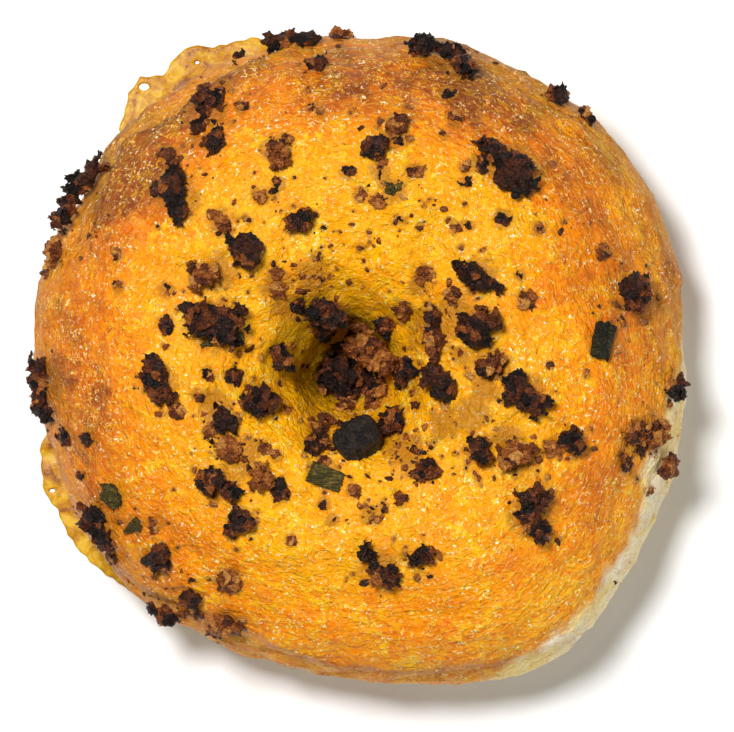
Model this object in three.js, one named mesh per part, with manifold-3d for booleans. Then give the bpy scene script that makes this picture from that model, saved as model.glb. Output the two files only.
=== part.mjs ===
// A savoury bagel, baked with melted cheese and scattered with onion and chive.
// Millimetres, +Z up. The bagel lies on its flat underside, at z = 0.
import * as THREE from "three";
import { mergeVertices } from "three/addons/utils/BufferGeometryUtils.js";
import Module from "manifold-3d";

const wasm = await Module();
wasm.setup();

// Driving dimensions
const HEIGHT = 42; // crown of the ring above the tray
const CROWN_SHARE = 0.53; // where the crown lies between the hole's axis and the outer edge
const THROAT_RADIUS = 4.2; // narrowest part of the hole
const THROAT_SHIFT = new THREE.Vector2(-2.2, -3.4); // the hole leans: its throat sits off the ring's axis
const TOPPING_GAP = 0.35; // clearance between a topping bit and the crust under it
const LUMP_SQUARENESS = 0.85; // 1 is a plain oval lump, and less is squarer
const CHIVE_SQUARENESS = 0.6;
const LUMP_SPREAD = 0.12; // how unevenly a lump reaches sideways, as a share of its size
const LUMP_RELIEF = 0.18; // how uneven its top is, as a share of its height
const LUMP_SAG = 0.8; // how far its underside follows the crust down, as a share of its height
const SWELL_SLOW = 0.55; // height of the crust's three broad swells
const SWELL_QUICK = 0.3; // height of its seven narrow swells
const SWELL_OUTWARD = 0.6; // share of a swell that also goes outwards
const SKIRT_THICKNESS = 0.9; // crisp cheese that ran down onto the tray
const SKIRT_INNER_SHARE = 0.84; // the skirt starts under the bulge, at this share of the outer radius
const SKIRT_RIPPLE = 0.2; // how far its ragged edge strays in and out
const SKIRT_RIPPLE_TURN = 2.4; // radians of that ripple from one step to the next
const SKIRT_LEAST_WIDTH = 4; // narrowest it gets
const SKIRT_END_SHARE = 0.25; // width left at its two ends
const SKIRT_TAPER = 6; // how soon it reaches its full width from an end
const SKIRT_EDGE_SHARE = 0.7; // thickness left at its outer edge
const SKIRT_ROWS = [0, 0.35, 0.7, 1]; // shares of the width where it has a row of points
const SKIRT_STEPS = 3; // steps between two values of its reach
const BEARINGS = 84; // steps round the ring
const SECTION_STEPS = 26; // steps round the section, the flat base not counted

// Outer radius of the bread by bearing, every 15 degrees anticlockwise from +X.
const OUTER_RADIUS = [
  57.0, 57.0, 58.0, 57.9, 56.8, 56.2, 55.6, 56.2, 56.8, 57.4, 56.8, 56.0,
  56.2, 55.4, 55.9, 57.4, 57.1, 56.7, 56.8, 59.8, 63.6, 62.2, 59.5, 58.7,
];

// Height of the crown by bearing, as a share of HEIGHT, every 45 degrees.
const CROWN_HEIGHT = [0.97, 0.99, 1.0, 0.99, 0.97, 0.96, 0.95, 0.95];

// The ring's section, from the base's outer edge over the crown and down the hole to the base's inner
// edge. The first number is 0 at the throat, 1 at the crown and 2 at the outer edge; the second is a
// share of the height.
const SECTION = new THREE.SplineCurve(
  [
    [1.44, 0], [1.72, 0.045], [1.92, 0.18], [2.0, 0.37], [1.94, 0.57], [1.73, 0.78], [1.38, 0.937],
    [1.0, 1.0], [0.68, 0.978], [0.42, 0.9], [0.23, 0.73], [0.1, 0.5], [0.01, 0.3], [0.0, 0.12],
    [0.012, 0.02], [0.04, 0],
  ].map(([reach, height]) => new THREE.Vector2(reach, height)),
);

// Topping bits. Each row is one clump, and a clump is one lump or several that are stuck together.
// A lump is x, y of its middle, length, width, height, heading in degrees anticlockwise from +X.
const CHARRED_ONION = [
  [[-24.8, 43.0, 6.2, 5.6, 3.4, 60], [-26.6, 39.2, 4.2, 2.4, 1.8, 70]],
  [[-24.6, 35.8, 4.6, 4.0, 2.6, 20]],
  [[-31.4, 28.4, 8.2, 4.6, 3.4, 100], [-30.2, 24.4, 5.0, 4.8, 2.8, 110]],
  [[-44.6, 30.8, 7.0, 4.0, 3.0, 50], [-49.0, 28.6, 5.2, 4.6, 3.2, 20], [-51.4, 24.0, 6.6, 5.6, 3.4, 110]],
  [[-13.4, 54.4, 6.6, 4.6, 3.2, 15], [-8.6, 53.6, 5.0, 3.4, 2.6, 0]],
  [[-6.9, 49.6, 3.6, 2.8, 2.2, 30]],
  [[-9.8, 22.8, 4.8, 3.0, 2.2, 30]],
  [[-19.4, 18.0, 7.2, 5.6, 3.4, 125]],
  [[-27.2, 5.8, 7.6, 7.4, 3.8, 0], [-22.2, 4.6, 9.6, 6.6, 3.6, 85]],
  [[-12.8, -0.8, 5.2, 4.2, 2.8, 150]],
  [[-34.7, -3.4, 6.4, 4.4, 3.0, 110], [-33.4, -7.0, 5.0, 4.8, 2.8, 30]],
  [[-17.6, -8.6, 7.4, 6.0, 3.8, 160]],
  [[-23.4, -11.6, 5.6, 3.6, 2.4, 150]],
  [[-25.0, -21.6, 4.8, 4.0, 2.8, 60], [-21.6, -23.4, 5.0, 3.2, 2.4, 160]],
  [[-20.2, -28.6, 6.2, 4.6, 2.8, 30]],
  [[-55.6, -2.8, 6.6, 4.0, 2.6, 95], [-54.6, -8.4, 6.4, 4.0, 2.8, 100]],
  [[-45.0, -27.6, 5.8, 5.0, 3.0, 160], [-43.0, -30.8, 6.6, 4.0, 2.6, 110]],
  [[-33.6, -34.8, 5.0, 3.8, 2.6, 100]],
  [[-28.4, -41.6, 3.4, 3.0, 2.4, 0]],
  [[-33.2, -44.2, 5.2, 3.8, 2.6, 110]],
  [[11.0, 51.9, 6.0, 5.2, 3.2, 60], [15.2, 51.4, 7.0, 2.8, 2.4, 170]],
  [[18.8, 48.4, 4.8, 4.0, 2.8, 150]],
  [[35.8, 44.8, 4.6, 3.4, 2.8, 140]],
  [[40.2, 41.8, 3.6, 2.8, 2.4, 10]],
  [[23.4, 35.0, 6.8, 5.0, 3.0, 150], [27.4, 31.0, 9.8, 7.0, 3.2, 130]],
  [[3.0, 35.2, 4.8, 4.0, 2.6, 40]],
  [[47.4, 10.0, 7.8, 5.4, 3.6, 75]],
  [[20.2, 14.2, 5.8, 5.0, 3.2, 140], [23.0, 12.0, 5.0, 4.0, 2.6, 150]],
  [[21.6, 5.0, 8.6, 6.2, 3.8, 20]],
  [[15.4, -5.0, 6.6, 5.0, 3.2, 135]],
  [[27.6, -6.0, 7.6, 5.2, 3.2, 115], [30.8, -9.4, 7.4, 5.0, 3.0, 150]],
  [[37.2, -15.0, 5.4, 4.4, 2.8, 160]],
  [[21.4, -16.8, 4.4, 3.4, 2.4, 100]],
  [[29.8, -25.4, 8.4, 5.8, 3.4, 85], [30.4, -30.4, 5.6, 5.2, 2.8, 10]],
  [[12.4, -20.6, 5.0, 3.0, 2.4, 30]],
  [[54.5, -5.7, 4.0, 3.8, 2.6, 80]],
  [[2.0, -34.4, 4.8, 2.8, 2.2, 100], [5.4, -38.6, 4.6, 3.8, 2.4, 30], [3.0, -37.0, 3.6, 2.4, 1.8, 130]],
  [[11.4, -34.9, 3.6, 2.8, 2.2, 80]],
  [[-5.0, 6.6, 8.0, 5.0, 3.8, 170]],
  [[7.4, -12.8, 5.0, 4.6, 3.6, 40]],
  [[-3.4, -4.8, 6.4, 6.0, 4.0, 60]],
  [[-7.4, -16.0, 5.2, 3.8, 2.6, 40]],
];
const BROWNED_ONION = [
  [[-13.4, 34.2, 6.4, 4.4, 2.6, 105]],
  [[-26.6, 13.4, 6.2, 4.6, 2.6, 20]],
  [[-16.6, -21.0, 5.0, 4.2, 2.4, 80]],
  [[-22.4, -46.2, 6.2, 4.6, 2.6, 30]],
  [[14.4, 4.0, 11.0, 2.8, 2.6, 86]],
  [[27.9, -17.0, 6.6, 5.0, 2.6, 10]],
  [[53.0, -19.3, 5.4, 4.4, 2.4, 10]],
  [[51.4, -13.4, 6.0, 4.8, 2.4, 30]],
  [[1.4, 1.6, 7.2, 6.2, 5.0, 130], [4.4, -1.6, 6.4, 6.4, 4.6, 120]],
  [[-52.0, 18.0, 5.0, 3.4, 2.4, 30]],
  [[6.9, 38.8, 5.2, 2.6, 2.0, 62]],
  [[22.8, -2.2, 6.0, 4.2, 2.4, 10]],
];
const CHIVE = [
  [[-0.2, -16.0, 8.4, 5.8, 4.0, 66]],
  [[-5.6, -21.8, 6.8, 4.0, 1.6, 160]],
  [[42.0, 2.2, 6.6, 4.2, 1.8, 66]],
];

// Skirts: the bearings where each starts and ends, in degrees, and its outer radius along the way.
const SKIRTS = {
  cheese_skirt_upper_left: {
    from: 102,
    to: 141,
    reach: [57.4, 57.9, 58.4, 58.8, 59.3, 61.4, 61.0, 59.4, 61.6, 60.7, 58.3, 57.9, 57.0],
  },
  cheese_skirt_lower_left: {
    from: 190,
    to: 232,
    reach: [56.0, 56.8, 58.0, 59.0, 60.0, 59.2, 59.7, 59.8, 59.3, 58.6, 57.7, 58.2, 57.8],
  },
};

const CHEESE_CRUST = new THREE.MeshStandardMaterial({ color: 0xe9a12c, roughness: 0.4, metalness: 0 });
const CRISP_CHEESE = new THREE.MeshStandardMaterial({ color: 0xd9a436, roughness: 0.35, metalness: 0 });
const CHAR = new THREE.MeshStandardMaterial({ color: 0x2e1d15, roughness: 0.7, metalness: 0 });
const BROWNED = new THREE.MeshStandardMaterial({ color: 0x7a4426, roughness: 0.6, metalness: 0 });
const GREEN_HERB = new THREE.MeshStandardMaterial({ color: 0x3c3a1e, roughness: 0.6, metalness: 0 });

const radians = THREE.MathUtils.degToRad;

// A smooth value at a bearing, from values spaced evenly round the full circle.
function aroundRing(values, bearing) {
  const count = values.length;
  const place = (bearing / (2 * Math.PI)) * count;
  const first = Math.floor(place);
  const [a, b, c, d] = [-1, 0, 1, 2].map((step) => values[(first + step + 2 * count) % count]);
  const t = place - first;
  return b + 0.5 * t * (c - a + t * (2 * a - 5 * b + 4 * c - d + t * (3 * (b - c) + d - a)));
}

// A smooth value at a share from 0 to 1 along evenly spaced values.
function alongLine(values, share) {
  const place = share * (values.length - 1);
  const first = Math.min(Math.floor(place), values.length - 2);
  return THREE.MathUtils.lerp(values[first], values[first + 1], place - first);
}

// Repeatable scatter between -1 and 1.
function scatterFrom(seed) {
  let state = seed;
  return () => {
    state = (Math.imul(state, 1664525) + 1013904223) >>> 0;
    return (state / 2 ** 32) * 2 - 1;
  };
}

// Low swells of the crust, in millimetres out of the surface.
function swell(bearing, reach) {
  const top = THREE.MathUtils.smoothstep(reach.height, 0.1, 0.5);
  const slow = Math.sin(3 * bearing + 2.2 * reach.share + 0.6);
  const quick = Math.sin(7 * bearing - 4.1 * reach.share + 1.9);
  return top * (SWELL_SLOW * slow + SWELL_QUICK * quick);
}

// A point of the bread's surface, from a bearing and a point of the section.
function surfacePoint(bearing, share, height) {
  const outer = aroundRing(OUTER_RADIUS, bearing);
  const crown = outer * CROWN_SHARE;
  const radius =
    share < 1
      ? THREE.MathUtils.lerp(THROAT_RADIUS, crown, share)
      : THREE.MathUtils.lerp(crown, outer, share - 1);
  const lean = Math.max(0, 1 - share);
  const lift = swell(bearing, { share, height });
  const outward = (share - 1) * SWELL_OUTWARD * lift;
  return new THREE.Vector3(
    THROAT_SHIFT.x * lean + (radius + outward) * Math.cos(bearing),
    THROAT_SHIFT.y * lean + (radius + outward) * Math.sin(bearing),
    height * HEIGHT * aroundRing(CROWN_HEIGHT, bearing) + (height > 0 ? lift * height : 0),
  );
}

// A closed ring of quads, each split in two, from rows of points that close both ways.
function closedRing(rows) {
  const across = rows[0].length;
  const geometry = new THREE.BufferGeometry().setFromPoints(rows.flat());
  const index = [];
  rows.forEach((row, i) => {
    const next = (i + 1) % rows.length;
    row.forEach((point, j) => {
      const beside = (j + 1) % across;
      const [a, b, c, d] = [i * across + j, next * across + j, next * across + beside, i * across + beside];
      index.push(a, b, c, a, c, d);
    });
  });
  geometry.setIndex(index);
  geometry.computeVertexNormals();
  return geometry;
}

function breadGeometry() {
  const section = SECTION.getSpacedPoints(SECTION_STEPS);
  const rows = [];
  for (let i = 0; i < BEARINGS; i++) {
    const bearing = (i / BEARINGS) * 2 * Math.PI;
    rows.push(section.map((p) => surfacePoint(bearing, p.x, p.y)));
  }
  return closedRing(rows);
}

// A thin sheet on the tray, from under the bulge to a ragged outer edge, tapering at both ends.
function skirtGeometry({ from, to, reach }) {
  const steps = SKIRT_STEPS * (reach.length - 1);
  const top = [];
  const bottom = [];
  for (let i = 0; i <= steps; i++) {
    const share = i / steps;
    const bearing = radians(THREE.MathUtils.lerp(from, to, share));
    const inner = aroundRing(OUTER_RADIUS, bearing) * SKIRT_INNER_SHARE;
    const ripple = SKIRT_RIPPLE * Math.sin(i * SKIRT_RIPPLE_TURN);
    const outer = Math.max(alongLine(reach, share) + ripple, inner + SKIRT_LEAST_WIDTH);
    const taper = Math.min(1, SKIRT_END_SHARE + SKIRT_TAPER * Math.min(share, 1 - share));
    const radii = SKIRT_ROWS.map((across) => THREE.MathUtils.lerp(inner, outer, across * taper));
    const at = (radius, z) => new THREE.Vector3(radius * Math.cos(bearing), radius * Math.sin(bearing), z);
    const thin = SKIRT_THICKNESS * SKIRT_EDGE_SHARE;
    top.push(radii.map((radius, j) => at(radius, j + 1 < radii.length ? SKIRT_THICKNESS : thin)));
    bottom.push(radii.map((radius) => at(radius, 0)));
  }
  const width = top[0].length;
  const points = [...top.flat(), ...bottom.flat()];
  const below = top.length * width;
  const index = [];
  const quad = (a, b, c, d) => index.push(a, b, c, a, c, d);
  for (let i = 0; i < steps; i++) {
    for (let j = 0; j + 1 < width; j++) {
      const [a, b, c, d] = [i * width + j, i * width + j + 1, (i + 1) * width + j + 1, (i + 1) * width + j];
      quad(a, b, c, d);
      quad(below + a, below + d, below + c, below + b);
    }
    quad(i * width, (i + 1) * width, below + (i + 1) * width, below + i * width);
    const rim = i * width + width - 1;
    quad(rim, below + rim, below + rim + width, rim + width);
  }
  for (let j = 0; j + 1 < width; j++) {
    quad(j, below + j, below + j + 1, j + 1);
    const last = steps * width + j;
    quad(last, last + 1, below + last + 1, below + last);
  }
  const geometry = new THREE.BufferGeometry().setFromPoints(points);
  geometry.setIndex(index);
  geometry.computeVertexNormals();
  return geometry;
}

// Finds the crust under a point, looking along a direction.
const ray = new THREE.Raycaster();
function crustBelow(bread, from, direction) {
  ray.set(from, direction);
  return ray.intersectObject(bread)[0];
}

// Where a bit sits: the crust's point and facing nearest to its x and y. Over the hole it lies level.
const HOLE_REACH = 14;
const EDGE_INSET = 1.8;
const RAY_START = 8;
function seatOf(bread, x, y) {
  const upright = new THREE.Vector3(0, 0, 1);
  if (Math.hypot(x, y) < HOLE_REACH) return { point: new THREE.Vector3(x, y, HEIGHT), facing: upright };
  const bearing = Math.atan2(y, x);
  const radius = Math.min(Math.hypot(x, y), aroundRing(OUTER_RADIUS, bearing + 2 * Math.PI) - EDGE_INSET);
  const above = new THREE.Vector3(radius * Math.cos(bearing), radius * Math.sin(bearing), 2 * HEIGHT);
  const hit = crustBelow(bread, above, upright.clone().negate());
  return { point: hit.point, facing: hit.face.normal.clone() };
}

// An irregular lump whose underside follows the crust. A chive piece is squarer than a bit of onion.
function lumpGeometry(bread, [x, y, length, width, height, heading], scatter, squareness) {
  const { point, facing } = seatOf(bread, x, y);
  const along = new THREE.Vector3(Math.cos(radians(heading)), Math.sin(radians(heading)), 0);
  along.addScaledVector(facing, -along.dot(facing)).normalize();
  const across = new THREE.Vector3().crossVectors(facing, along);
  const ball = new THREE.IcosahedronGeometry(1, 1);
  ball.deleteAttribute("normal");
  ball.deleteAttribute("uv");
  const geometry = mergeVertices(ball, 1e-4);
  const position = geometry.getAttribute("position");
  const down = facing.clone().negate();
  const stretch = (value) => Math.sign(value) * Math.abs(value) ** squareness;
  const unit = new THREE.Vector3();
  const footprints = [];
  for (let i = 0; i < position.count; i++) {
    unit.fromBufferAttribute(position, i);
    const lobe = 1 + LUMP_SPREAD * scatter();
    const start = point
      .clone()
      .addScaledVector(along, 0.5 * length * lobe * stretch(unit.x))
      .addScaledVector(across, 0.5 * width * lobe * stretch(unit.y))
      .addScaledVector(facing, RAY_START);
    const hit = crustBelow(bread, start, down);
    footprints.push({ start, depth: hit ? hit.distance : Infinity, lift: 0.5 * (1 + stretch(unit.z)) });
  }
  const found = footprints.map((foot) => foot.depth).filter(Number.isFinite);
  const shallowest = Math.min(...found);
  footprints.forEach(({ start, depth, lift }, i) => {
    const seat = Math.min(depth, shallowest + LUMP_SAG * height);
    const rise = TOPPING_GAP + lift * height * (1 + LUMP_RELIEF * scatter());
    start.addScaledVector(facing, rise - seat);
    position.setXYZ(i, start.x, start.y, start.z);
  });
  return geometry;
}

function solidFrom(geometry) {
  const vertProperties = geometry.getAttribute("position").array;
  const triVerts = new Uint32Array(geometry.index.array);
  return new wasm.Manifold(new wasm.Mesh({ numProp: 3, vertProperties, triVerts }));
}

// Lumps that are stuck together make one clump.
function clumpGeometry(bread, lumps, seed, squareness) {
  const scatter = scatterFrom(seed);
  const solids = lumps.map((lump) => solidFrom(lumpGeometry(bread, lump, scatter, squareness)));
  const clump = solids.reduce((whole, solid) => whole.add(solid)).getMesh();
  const geometry = new THREE.BufferGeometry();
  geometry.setAttribute("position", new THREE.BufferAttribute(clump.vertProperties, 3));
  geometry.setIndex(new THREE.BufferAttribute(clump.triVerts, 1));
  geometry.computeVertexNormals();
  return geometry;
}

function named(name, geometry, material) {
  const mesh = new THREE.Mesh(geometry, material);
  mesh.name = name;
  return mesh;
}

const bread = named("bread_ring", breadGeometry(), CHEESE_CRUST);
bread.updateMatrixWorld(true);
const bagel = new THREE.Group();
bagel.add(bread);
for (const [name, skirt] of Object.entries(SKIRTS)) {
  bagel.add(named(name, skirtGeometry(skirt), CRISP_CHEESE));
}
for (const [name, clumps, material, squareness] of [
  ["charred_onion", CHARRED_ONION, CHAR, LUMP_SQUARENESS],
  ["browned_onion", BROWNED_ONION, BROWNED, LUMP_SQUARENESS],
  ["chive", CHIVE, GREEN_HERB, CHIVE_SQUARENESS],
]) {
  clumps.forEach((lumps, i) => {
    const geometry = clumpGeometry(bread, lumps, 1000 * name.length + i, squareness);
    bagel.add(named(`${name}_${String(i + 1).padStart(2, "0")}`, geometry, material));
  });
}

// The origin is the middle of the footprint, on the tray.
const extent = new THREE.Box3().setFromObject(bagel, true);
const middle = extent.getCenter(new THREE.Vector3());
bagel.position.set(-middle.x, -middle.y, -extent.min.z);

export default bagel;
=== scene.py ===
import math
import random

import bpy
import numpy as np
from mathutils import Matrix, Vector, noise
from mathutils.bvhtree import BVHTree


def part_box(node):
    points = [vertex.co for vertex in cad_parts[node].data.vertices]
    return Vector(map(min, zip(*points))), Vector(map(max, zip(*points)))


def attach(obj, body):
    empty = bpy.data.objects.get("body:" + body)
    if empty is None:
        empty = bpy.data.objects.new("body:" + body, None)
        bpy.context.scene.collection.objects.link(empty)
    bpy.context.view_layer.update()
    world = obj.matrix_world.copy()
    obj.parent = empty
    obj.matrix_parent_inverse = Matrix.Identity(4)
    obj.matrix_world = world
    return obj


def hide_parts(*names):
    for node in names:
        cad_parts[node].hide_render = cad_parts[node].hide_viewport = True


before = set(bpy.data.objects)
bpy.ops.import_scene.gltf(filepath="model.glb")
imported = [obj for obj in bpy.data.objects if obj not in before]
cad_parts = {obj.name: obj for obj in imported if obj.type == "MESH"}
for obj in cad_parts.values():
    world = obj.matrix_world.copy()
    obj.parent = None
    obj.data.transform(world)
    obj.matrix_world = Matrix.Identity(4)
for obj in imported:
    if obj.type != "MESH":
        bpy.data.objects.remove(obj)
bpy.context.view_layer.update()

MM = 0.001
UPWARD = Vector((0, 0, 1))
BREAD = "bread_ring"
SKIRTS = [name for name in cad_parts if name.startswith("cheese_skirt")]
BITS = sorted(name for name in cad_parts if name.split("_")[0] in ("charred", "browned", "chive"))

BREAD_LOW, BREAD_HIGH = (Vector(corner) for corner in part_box(BREAD))
AXIS_OFFSET = Vector((-0.29, 1.28, 0)) * MM  # the ring's axis lies a little off the middle of its box
RING_CENTRE = Vector(((BREAD_LOW.x + BREAD_HIGH.x) / 2, (BREAD_LOW.y + BREAD_HIGH.y) / 2, 0)) + AXIS_OFFSET
RING_RADIUS = (BREAD_HIGH.x - BREAD_LOW.x + BREAD_HIGH.y - BREAD_LOW.y) / 4
CROWN_RADIUS = 0.53 * RING_RADIUS


# ---------------------------------------------------------------- working with objects and meshes

def deselect():
    if bpy.context.object and bpy.context.object.mode != "OBJECT":
        bpy.ops.object.mode_set(mode="OBJECT")
    bpy.ops.object.select_all(action="DESELECT")


def select_only(*pieces):
    deselect()
    for piece in pieces:
        piece.select_set(True)
    bpy.context.view_layer.objects.active = pieces[0]


def copy_of(piece, name):
    twin = bpy.data.objects.new(name, piece.data.copy())
    bpy.context.scene.collection.objects.link(twin)
    return twin


def merged_copy(node, name):
    """A CAD node's mesh is loose triangles, so its copy is merged before it is worked on."""
    twin = copy_of(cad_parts[node], name)
    twin.data.materials.clear()
    select_only(twin)
    bpy.ops.object.mode_set(mode="EDIT")
    bpy.ops.mesh.select_all(action="SELECT")
    bpy.ops.mesh.remove_doubles(threshold=0.01 * MM)
    bpy.ops.object.mode_set(mode="OBJECT")
    return twin


def apply_modifier(piece, kind, **settings):
    modifier = piece.modifiers.new(kind.lower(), kind)
    for key, value in settings.items():
        setattr(modifier, key, value)
    select_only(piece)
    bpy.ops.object.modifier_apply(modifier=modifier.name)


def settle(piece):
    """Puts a piece's place into its mesh, as a CAD node's is."""
    select_only(piece)
    bpy.ops.object.transform_apply(location=True, rotation=True, scale=True)


def joined(pieces, name):
    select_only(*pieces)
    bpy.ops.object.join()
    piece = bpy.context.object
    piece.name = name
    piece.data.name = name
    return piece


def crinkle(name, kind, size, **settings):
    texture = bpy.data.textures.new(name, kind)
    texture.noise_scale = size
    for key, value in settings.items():
        setattr(texture, key, value)
    return texture


def finished(piece, material, slot, *nodes):
    piece.data.materials.clear()
    piece.data.materials.append(material)
    select_only(piece)
    bpy.ops.object.shade_smooth()
    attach(piece, "root")
    if nodes:
        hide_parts(*nodes)


# ---------------------------------------------------------------- materials

class Shade:
    """A socket in a material's node tree. Arithmetic on it adds the Math nodes."""

    def __init__(self, recipe, socket):
        self.recipe = recipe
        self.socket = socket

    def maths(self, operation, *values, **settings):
        settings = {"operation": operation, **settings}
        return self.recipe.add("ShaderNodeMath", settings, dict(enumerate(values)))

    def __add__(self, other):
        return self.maths("ADD", self, other)

    def __radd__(self, other):
        return self.maths("ADD", other, self)

    def __sub__(self, other):
        return self.maths("SUBTRACT", self, other)

    def __rsub__(self, other):
        return self.maths("SUBTRACT", other, self)

    def __mul__(self, other):
        return self.maths("MULTIPLY", self, other)

    def __truediv__(self, other):
        return self.maths("DIVIDE", self, other)

    def __pow__(self, other):
        return self.maths("POWER", self, other)

    def clamped(self):
        return self.maths("ADD", self, 0.0, use_clamp=True)

    def absolute(self):
        return self.maths("ABSOLUTE", self)

    def between(self, low, high):
        """0 below low, 1 above high, smooth between them."""
        return self.recipe.add(
            "ShaderNodeMapRange",
            {"interpolation_type": "SMOOTHSTEP"},
            {"Value": self, "From Min": low, "From Max": high},
        )


class Recipe:
    """One material and the nodes that it is mixed from."""

    def __init__(self, name):
        self.material = bpy.data.materials.new(name)
        self.material.use_nodes = True
        self.tree = self.material.node_tree
        self.tree.nodes.clear()

    def add(self, kind, settings=None, inputs=None, output=0):
        node = self.tree.nodes.new(kind)
        for key, value in (settings or {}).items():
            setattr(node, key, value)
        for key, value in (inputs or {}).items():
            if isinstance(value, Shade):
                self.tree.links.new(value.socket, node.inputs[key])
            else:
                node.inputs[key].default_value = value
        return Shade(self, node.outputs[output]) if node.outputs else None

    def mix(self, factor, first, second, blend="MIX"):
        settings = {"data_type": "RGBA", "blend_type": blend, "clamp_factor": True}
        first, second = (c if isinstance(c, Shade) else (*c, 1.0) for c in (first, second))
        return self.add("ShaderNodeMix", settings, {0: factor, 6: first, 7: second}, output=2)

    def ramp(self, factor, stops):
        shade = self.add("ShaderNodeValToRGB", None, {"Fac": factor})
        colours = shade.socket.node.color_ramp
        for place, colour in stops[2:]:
            colours.elements.new(place)
        for element, (place, colour) in zip(colours.elements, sorted(stops)):
            element.position = place
            element.color = (*colour, 1.0)
        return shade

    def attribute(self, name):
        return self.add("ShaderNodeAttribute", {"attribute_name": name}, output="Fac")

    def place(self, stretch=(1.0, 1.0, 1.0), turn=(0.0, 0.0, 0.0)):
        """Object coordinates in millimetres, stretched and turned."""
        coordinates = self.add("ShaderNodeTexCoord", output="Object")
        scale = tuple(1.0 / (MM * s) for s in stretch)
        inputs = {"Vector": coordinates, "Scale": scale, "Rotation": turn}
        return self.add("ShaderNodeMapping", None, inputs)

    def noise(self, vector, scale, detail, roughness, distortion=0.0):
        inputs = {"Vector": vector, "Scale": scale, "Detail": detail, "Roughness": roughness}
        return self.add("ShaderNodeTexNoise", None, {**inputs, "Distortion": distortion})

    def bump(self, height, distance, strength=1.0, under=None):
        inputs = {"Height": height, "Distance": distance, "Strength": strength}
        if under:
            inputs["Normal"] = under
        return self.add("ShaderNodeBump", None, inputs)

    def surface(self, **sockets):
        inputs = {name.replace("_", " "): value for name, value in sockets.items()}
        shader = self.add("ShaderNodeBsdfPrincipled", None, inputs)
        self.add("ShaderNodeOutputMaterial", None, {"Surface": shader})
        return self.material


STROKE_RADIUS = 0.75 * RING_RADIUS / MM  # where the strokes have their full length
STROKE_SWAY = 5.0  # millimetres by which the strokes wander off the ring
STROKE_BLEND = 6.0  # millimetres either side of the Y axis over which the two fields meet


def ring_strokes(recipe, length, width, detail, distortion):
    """Fine strokes that run round the ring, swaying off it. Two fields meet where neither has its seam."""
    coordinates = recipe.add("ShaderNodeTexCoord", output="Object")
    parts = recipe.add("ShaderNodeSeparateXYZ", None, {0: coordinates})
    x, y, z = (Shade(recipe, socket) / MM for socket in parts.socket.node.outputs)
    drift = (recipe.noise(recipe.place(), 0.11, 2.0, 0.5) - 0.5) * STROKE_SWAY
    radius = (x * x + y * y) ** 0.5 + drift
    across = recipe.add("ShaderNodeCombineXYZ", None, {0: 0.0, 1: radius / width, 2: z / width})
    fields = []
    for facing in (x, x * -1.0):
        bearing = facing.maths("ARCTAN2", y, facing)
        along = recipe.add("ShaderNodeCombineXYZ", None, {0: bearing * (STROKE_RADIUS / length)})
        vector = recipe.add("ShaderNodeVectorMath", {"operation": "ADD"}, {0: across, 1: along})
        fields.append(recipe.noise(vector, 1.0, detail, 0.55, distortion))
    share = x.between(-STROKE_BLEND, STROKE_BLEND)
    return fields[1] + (fields[0] - fields[1]) * share


def line_of(field, sharpness):
    """1 along the thin lines where a noise field crosses its middle value, falling to 0 beside them."""
    return (1.0 - (field - 0.5).absolute() * sharpness).clamped()


# The crust's colours, from the palest cheese to the darkest, then what lies on it and beside it, and the
# painted highlights and painted shade on it.
YELLOW = (0.87, 0.375, 0.0005)
GOLD = (0.86, 0.290, 0.0005)
ORANGE = (0.82, 0.225, 0.002)
TOAST = (0.60, 0.145, 0.006)
SCORCH = (0.25, 0.058, 0.010)
THICK = (0.92, 0.47, 0.001)
CREAM = (0.95, 0.59, 0.012)
# Strands of cheese, painted paler as a highlight along them.
STRAND_AND_SHEEN = (0.98, 0.52, 0.003)
# Painted highlights on the crinkles: the first on pale cheese, the second on toasted cheese.
WISP_HIGHLIGHT = (1.0, 0.70, 0.055)
WISP_HIGHLIGHT_TOASTED = (0.97, 0.45, 0.045)
RIND = (0.76, 0.30, 0.008)
RIND_PALE = (0.93, 0.54, 0.035)
DOUGH = (0.95, 0.74, 0.30)
FLOUR = (0.97, 0.88, 0.64)
# Painted highlight: white glints on the wisps.
GLINT_HIGHLIGHT = (1.0, 0.95, 0.72)
STAIN = (0.38, 0.13, 0.008)
# Painted shade in the funnel round the hole.
FUNNEL_SHADE = (0.40, 0.23, 0.001)
# Painted shade of small pits in the rind.
PIT_SHADE = (0.30, 0.10, 0.02)
LIP = (0.20, 0.058, 0.016)


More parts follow.
